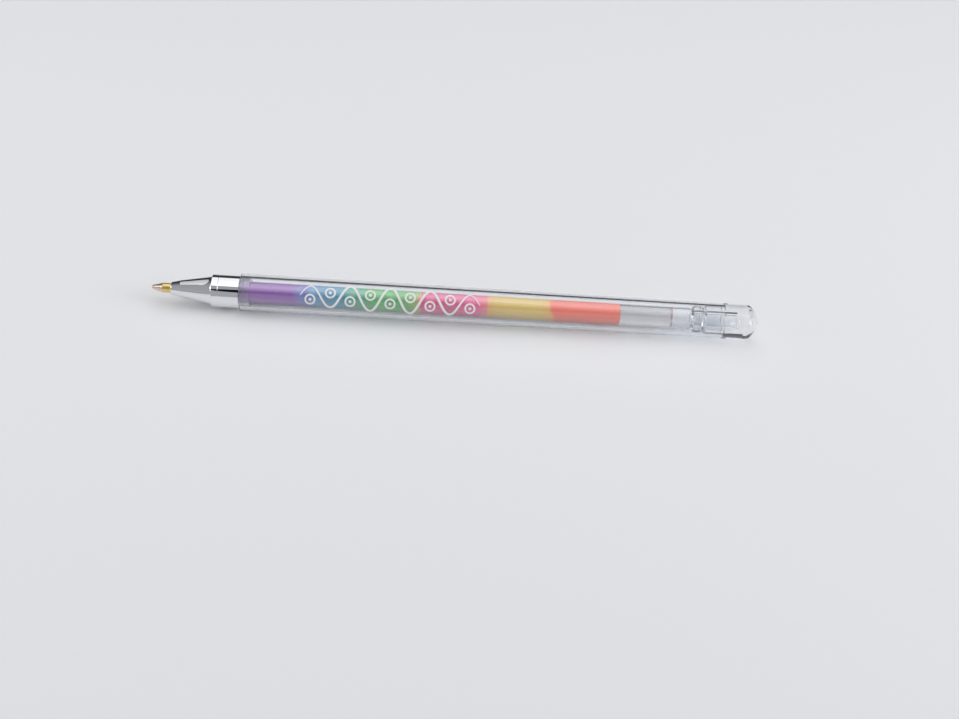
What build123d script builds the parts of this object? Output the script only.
from build123d import *
import os

# Stick gel pen with a clear barrel and a six-colour ink column.
#
# Units are millimetres. The pen lies along X with its writing tip towards -X. It rests on Z = 0, and X = 0 is
# the middle of its length. A station is a distance behind the ball's front, measured along the pen's axis.

# Overall size
overall_length = 145.0
barrel_front_radius = 4.5
barrel_rear_radius = 4.2
axis_height = barrel_front_radius

# Fits: radial gaps between pieces, and the small chamfer on moulded edges
ball_gap = 0.03
refill_gap = 0.07
spigot_gap = 0.035
bonded_gap = 0.01
small_edge = 0.1

# Writing ball and the metal tip that holds it
ball_radius = 0.5
ball_exposure = 0.32
tip_rim_radius = 0.56
tip_radius = 1.15
tip_cone_end = 2.7
tip_shoulder = 10.9
tip_stem_radius = 0.95
tip_stem_end = 14.0
feed_radius = 0.25
feed_start = 1.1
feed_end = 2.2
feed_flare_end = 2.5
tip_bore_radius = 0.55

# Plastic holder that joins the tip to the ink tube
holder_nose_radius = 1.95
holder_flange_radius = 2.65
holder_flange_start = 15.6
holder_bore_radius = 0.8
holder_end = 21.0

# Ink tube
tube_outer_radius = 2.65
tube_inner_radius = 2.25
tube_start = 16.8
tube_end = 128.55

# Ink column: where each colour ends, in order from the tip, then the grease follower behind it
ink_ends = {
    "ink_violet": 36.5,
    "ink_blue": 48.9,
    "ink_green": 64.4,
    "ink_pink": 80.2,
    "ink_yellow": 94.9,
    "ink_orange": 111.7,
}
follower_start = 111.7
follower_start_dome = 0.4
follower_end = 124.3
follower_end_hollow = 0.5

# Nose cone: bright outer shell
nose_start = 4.66
nose_front_radius = 1.49
nose_lip = 0.16
nose_tip_bore = 1.2
nose_bevel_end = 6.95
nose_bevel_radius = 2.06
nose_waist_end = 11.4
nose_waist_radius = 2.88
nose_flare_end = 14.57
nose_flare_radius = 3.54
nose_flare_slope = 0.3
nose_holder_bore = 2.05
nose_holder_start = 10.6
nose_seat = 15.55
collar_radius = 3.95
collar_groove = 16.05
collar_groove_width = 0.2
collar_groove_depth = 0.04
collar_end = 21.2

# Nose insert: clear sleeve inside the collar, with a spigot that plugs the barrel
insert_start = 16.05
insert_radius = 3.2
insert_bead_groove = 21.95
insert_bead_width = 0.4
insert_bead_depth = 0.08
insert_end = 23.65

# Barrel
barrel_start = 21.27
barrel_end = 136.6
barrel_bore = 3.475

# Tail plug
plug_start = 128.85
plug_bead_radius = 3.22
plug_bead_face = 2.32
plug_bead_shoulder = 3.02
plug_bead_shoulder_depth = 0.4
plug_bead_end = 131.1
plug_neck_radius = 2.9
plug_ring_start = 131.9
plug_stem_start = 132.2
plug_stem_radius = 3.44
plug_flange_radius = 4.28
plug_flange_end = 137.5
plug_body_radius = 4.08
plug_facets = 12
plug_facet_turn = 18.3
plug_facet_start = 142.3
plug_facet_start_radius = 4.1
plug_facet_start_slope = 0.35
plug_end_radius = 0.6
plug_end_slope = 2.6
plug_hole_radius = 1.58
plug_hole_wall_end = 139.8
plug_hole_end = 140.6


def at(station):
    """X of a point on the axis at this distance behind the ball's front."""
    return station - overall_length / 2


def line(*points):
    """Straight runs of an outline through (station, radius) points."""
    return Polyline(*[(at(station), radius) for station, radius in points])


def arc(start, middle, end):
    """A circular stretch of an outline through three (station, radius) points."""
    return ThreePointArc(*[(at(station), radius) for station, radius in (start, middle, end)])


def dome(rim, crown, radius):
    """A spherical stretch of outline from the axis at station crown to a wall at station rim."""
    rise = crown - rim
    sphere = (radius**2 + rise**2) / (2 * rise)
    half = radius / 2
    slant = (sphere**2 - half**2) ** 0.5
    shoulder = crown - sphere + (slant if sphere > 0 else -slant)
    return arc((crown, 0), (shoulder, half), (rim, radius))


def turned(*runs):
    """The solid of revolution whose closed half outline is these runs, lifted to the pen's axis."""
    edges = [piece for run in runs for piece in run.edges()]
    return Pos(0, 0, axis_height) * revolve(make_face(edges), Axis.X)


def sleeve(start, end, outer, inner):
    """A plain tube with square ends."""
    return turned(line((start, inner), (start, outer), (end, outer), (end, inner), (start, inner)))


def ball():
    """Hard-metal writing ball."""
    return Pos(at(ball_radius), 0, axis_height) * Sphere(ball_radius)


def tip_body():
    """Turned brass tip: spherical seat for the ball, feed channel, and a stem for the holder."""
    seat = ball_radius + ball_gap
    rim_offset = ball_radius - ball_exposure
    rim_inner = (seat**2 - rim_offset**2) ** 0.5
    seat_back = ball_radius + (seat**2 - feed_radius**2) ** 0.5
    return turned(
        arc((ball_exposure, rim_inner), (ball_radius, seat), (seat_back, feed_radius)),
        line(
            (seat_back, feed_radius),
            (feed_end, feed_radius),
            (feed_flare_end, tip_bore_radius),
            (tip_stem_end, tip_bore_radius),
            (tip_stem_end, tip_stem_radius),
            (tip_shoulder, tip_stem_radius),
            (tip_shoulder, tip_radius),
            (tip_cone_end, tip_radius),
            (ball_exposure, tip_rim_radius),
            (ball_exposure, rim_inner),
        ),
    )


def tip_holder():
    """Moulded holder: grips the tip's stem in front and plugs the ink tube behind."""
    stem = tube_inner_radius - bonded_gap
    return turned(
        line(
            (tip_shoulder, tip_stem_radius),
            (tip_shoulder, holder_nose_radius - small_edge),
            (tip_shoulder + small_edge, holder_nose_radius),
            (holder_flange_start, holder_nose_radius),
            (holder_flange_start, holder_flange_radius),
            (tube_start, holder_flange_radius),
            (tube_start, stem),
            (holder_end - small_edge, stem),
            (holder_end, stem - small_edge),
            (holder_end, holder_bore_radius),
            (tip_stem_end, holder_bore_radius),
            (tip_stem_end, tip_stem_radius),
            (tip_shoulder, tip_stem_radius),
        )
    )


def ink_tube():
    """Clear tube that holds the ink column."""
    return sleeve(tube_start, tube_end, tube_outer_radius, tube_inner_radius)


def first_ink(end):
    """The first colour, which also fills the feed from the holder down to the back of the ball."""
    radius = tube_inner_radius - bonded_gap
    channel = feed_radius - bonded_gap
    tip_fill = tip_bore_radius - bonded_gap
    holder_fill = holder_bore_radius - bonded_gap
    return turned(
        line(
            (feed_start, 0),
            (feed_start, channel),
            (feed_end, channel),
            (feed_flare_end, tip_fill),
            (tip_stem_end, tip_fill),
            (tip_stem_end, holder_fill),
            (holder_end, holder_fill),
            (holder_end, radius),
            (end, radius),
            (end, 0),
            (feed_start, 0),
        )
    )


def middle_ink(start, end):
    """A plain slug of one colour."""
    radius = tube_inner_radius - bonded_gap
    return turned(line((start, 0), (start, radius), (end, radius), (end, 0), (start, 0)))


def last_ink(start, end):
    """The last colour, which meets the grease in a shallow dome."""
    radius = tube_inner_radius - bonded_gap
    crown = end + follower_start_dome
    return turned(
        line((crown, 0), (start, 0), (start, radius), (end, radius)),
        dome(end, crown, radius),
    )


def ink_column():
    """Every ink slug by name, each starting where the one before it ends."""
    slugs = {}
    start = holder_end
    names = list(ink_ends)
    for name, end in ink_ends.items():
        if name == names[0]:
            slugs[name] = first_ink(end)
        elif name == names[-1]:
            slugs[name] = last_ink(start, end)
        else:
            slugs[name] = middle_ink(start, end)
        start = end
    return slugs


def follower():
    """Clear grease plug that seals the back of the ink and follows it down the tube."""
    radius = tube_inner_radius - bonded_gap
    front = follower_start + follower_start_dome
    back = follower_end - follower_end_hollow
    return turned(
        dome(follower_start, front, radius),
        line((follower_start, radius), (follower_end, radius)),
        dome(follower_end, back, radius),
        line((back, 0), (front, 0)),
    )


def nose_front():
    """The nose's outer outline: rounded lip, bevel, waist, and the flare up to the collar."""
    bevel = (nose_bevel_radius - nose_front_radius) / (nose_bevel_end - nose_start)
    waist = (nose_waist_radius - nose_bevel_radius) / (nose_waist_end - nose_bevel_end)
    corner = nose_lip * (1 - 0.5**0.5)
    lip_start = (nose_start, nose_front_radius - nose_lip)
    lip_middle = (nose_start + corner, nose_front_radius - corner + bevel * nose_lip / 2)
    lip_end = (nose_start + nose_lip, nose_front_radius + bevel * nose_lip)
    flare = Spline(
        (at(nose_waist_end), nose_waist_radius),
        (at(nose_flare_end), nose_flare_radius),
        tangents=[(1, waist), (1, nose_flare_slope)],
    )
    straight = line(lip_end, (nose_bevel_end, nose_bevel_radius), (nose_waist_end, nose_waist_radius))
    return [arc(lip_start, lip_middle, lip_end), straight, flare]


def nose_cone():
    """Bright nose shell: bevelled front, slightly waisted cone, and the collar that a cap closes on."""
    holder_passage = holder_flange_radius + refill_gap
    return turned(
        *nose_front(),
        line(
            (nose_flare_end, nose_flare_radius),
            (nose_flare_end, collar_radius - small_edge),
            (nose_flare_end + small_edge, collar_radius),
            (collar_groove, collar_radius),
            (collar_groove + collar_groove_width / 2, collar_radius - collar_groove_depth),
            (collar_groove + collar_groove_width, collar_radius),
            (collar_end - small_edge, collar_radius),
            (collar_end, collar_radius - small_edge),
            (collar_end, insert_radius),
            (insert_start, insert_radius),
            (insert_start, holder_passage),
            (nose_seat, holder_passage),
            (nose_seat, nose_holder_bore),
            (nose_holder_start, nose_holder_bore),
            (nose_holder_start, nose_tip_bore),
            (nose_start, nose_tip_bore),
            (nose_start, nose_front_radius - nose_lip),
        ),
    )


def nose_insert():
    """Clear sleeve bonded inside the collar, whose spigot pushes into the barrel."""
    bore = tube_outer_radius + refill_gap
    spigot = barrel_bore - spigot_gap
    bead = spigot - insert_bead_depth
    slope = insert_bead_width / 4
    return turned(
        line(
            (insert_start, bore),
            (insert_start, insert_radius),
            (collar_end, insert_radius),
            (collar_end, spigot),
            (insert_bead_groove, spigot),
            (insert_bead_groove + slope, bead),
            (insert_bead_groove + insert_bead_width - slope, bead),
            (insert_bead_groove + insert_bead_width, spigot),
            (insert_end - small_edge, spigot),
            (insert_end, spigot - small_edge),
            (insert_end, bore),
            (insert_start, bore),
        )
    )


def barrel():
    """Clear round barrel, open at both ends and slightly slimmer at the tail."""
    return turned(
        line(
            (barrel_start, barrel_bore + small_edge),
            (barrel_start, barrel_front_radius - small_edge),
            (barrel_start + small_edge, barrel_front_radius),
            (barrel_end - small_edge, barrel_rear_radius),
            (barrel_end, barrel_rear_radius - small_edge),
            (barrel_end, barrel_bore + small_edge),
            (barrel_end - small_edge, barrel_bore),
            (barrel_start + small_edge, barrel_bore),
            (barrel_start, barrel_bore + small_edge),
        )
    )


def plug_turned():
    """The plug's turned shape, from the bead in the bore to a square end."""
    bead_start = (plug_start, plug_bead_face)
    bead_shoulder = (plug_start + plug_bead_shoulder_depth, plug_bead_shoulder)
    bead_middle = (plug_start + plug_bead_end) / 2
    return turned(
        line((plug_start, plug_hole_radius), bead_start),
        arc(bead_start, bead_shoulder, (bead_middle, plug_bead_radius)),
        line(
            (bead_middle, plug_bead_radius),
            (plug_bead_end - small_edge, plug_bead_radius - small_edge),
            (plug_bead_end, plug_neck_radius),
            (plug_ring_start, plug_neck_radius),
            (plug_stem_start, plug_stem_radius),
            (barrel_end, plug_stem_radius),
            (barrel_end, plug_flange_radius - small_edge),
            (barrel_end + small_edge, plug_flange_radius),
            (plug_flange_end - small_edge, plug_flange_radius),
            (plug_flange_end, plug_flange_radius - small_edge),
            (plug_flange_end, plug_body_radius),
            (overall_length, plug_body_radius),
            (overall_length, 0),
            (plug_hole_end, 0),
        ),
        dome(plug_hole_wall_end, plug_hole_end, plug_hole_radius),
        line((plug_hole_wall_end, plug_hole_radius), (plug_start, plug_hole_radius)),
    )


def facet_edge(side):
    """The curve of one facet from the plug's side to its small flat end, above or below the axis."""
    third = (overall_length - plug_facet_start) / 3
    start = (at(plug_facet_start), side * plug_facet_start_radius)
    leave = (start[0] + third, start[1] - side * plug_facet_start_slope * third)
    end = (at(overall_length), side * plug_end_radius)
    arrive = (end[0] - third, end[1] + side * plug_end_slope * third)
    return Bezier(start, leave, arrive, end)


def facet_slab():
    """A block that clears the plug but for its back end, which has the shape of two opposite facets."""
    front = at(plug_start) - 1
    girdle = at(plug_facet_start)
    clear = 2 * plug_body_radius
    top, bottom = facet_edge(1), facet_edge(-1)
    rest = Polyline(top @ 0, (girdle, clear), (front, clear), (front, -clear), (girdle, -clear), bottom @ 0)
    outline = make_face([top, bottom, rest, Line(top @ 1, bottom @ 1)])
    return extrude(Plane.XZ * outline, amount=clear, both=True)


def tail_plug():
    """Clear tail plug: bead and stem in the barrel, flange, and a blunt end ground to facets."""
    plug = plug_turned()
    for k in range(plug_facets // 2):
        plug &= Pos(0, 0, axis_height) * Rot(360 / plug_facets * k, 0, 0) * facet_slab()
    return plug.rotate(Axis((0, 0, axis_height), (1, 0, 0)), plug_facet_turn)


def all_parts():
    """Every separate piece of the pen by node name."""
    pieces = {
        "barrel": barrel(),
        "nose_cone": nose_cone(),
        "nose_insert": nose_insert(),
        "tip_body": tip_body(),
        "ball": ball(),
        "tip_holder": tip_holder(),
        "ink_tube": ink_tube(),
        "follower": follower(),
        "tail_plug": tail_plug(),
    }
    pieces.update(ink_column())
    return pieces


os.makedirs("parts", exist_ok=True)
for node, solid in all_parts().items():
    export_step(solid, f"parts/{node}.step")
